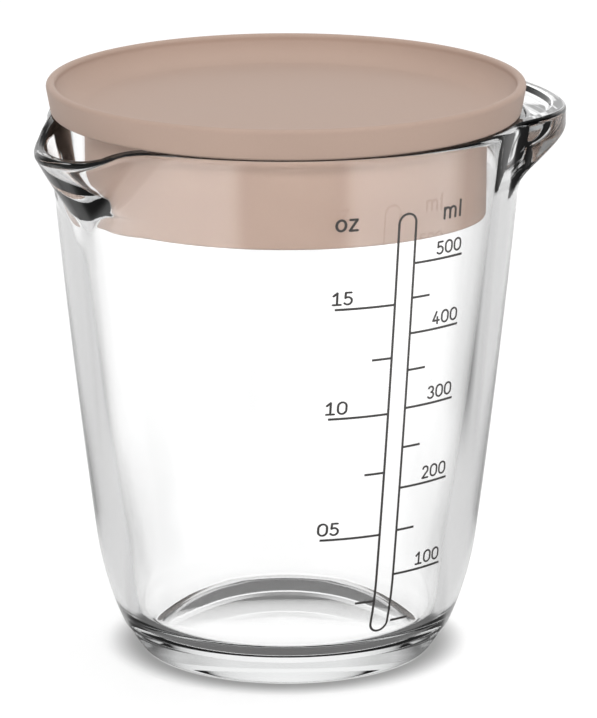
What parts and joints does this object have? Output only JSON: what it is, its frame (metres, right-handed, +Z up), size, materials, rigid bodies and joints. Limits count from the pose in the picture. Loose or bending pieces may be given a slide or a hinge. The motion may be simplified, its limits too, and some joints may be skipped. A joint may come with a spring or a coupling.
{
  "type": "measuring jug with lid",
  "caption": "Clear glass jug for mixing baby formula, with a pouring spout, a ledge grip, a printed measuring scale and a lift-off dished lid.",
  "frame": {"origin": "on the jug's axis, in the flat underside that it stands on", "axes": "+Z up along the jug's axis, -X towards the spout, +X towards the grip, -Y towards the printed scale"},
  "size_m": [0.1263, 0.108, 0.1317],
  "materials": {
    "clear_glass": "clear, polished",
    "lid_plastic": "matte, dusty rose",
    "scale_ink": "fired ink, satin"
  },
  "bodies": {
    "jug": {"glass_jug": "clear_glass", "column_print": "scale_ink", "millilitre_print": "scale_ink", "ounce_print": "scale_ink"},
    "lid": {"lid": "lid_plastic"}
  },
  "joints": [
    {"name": "lid_lift", "type": "slide", "parent": "jug", "child": "lid", "axis": [0, 0, 1], "range_m": [0, 0.04]}
  ]
}
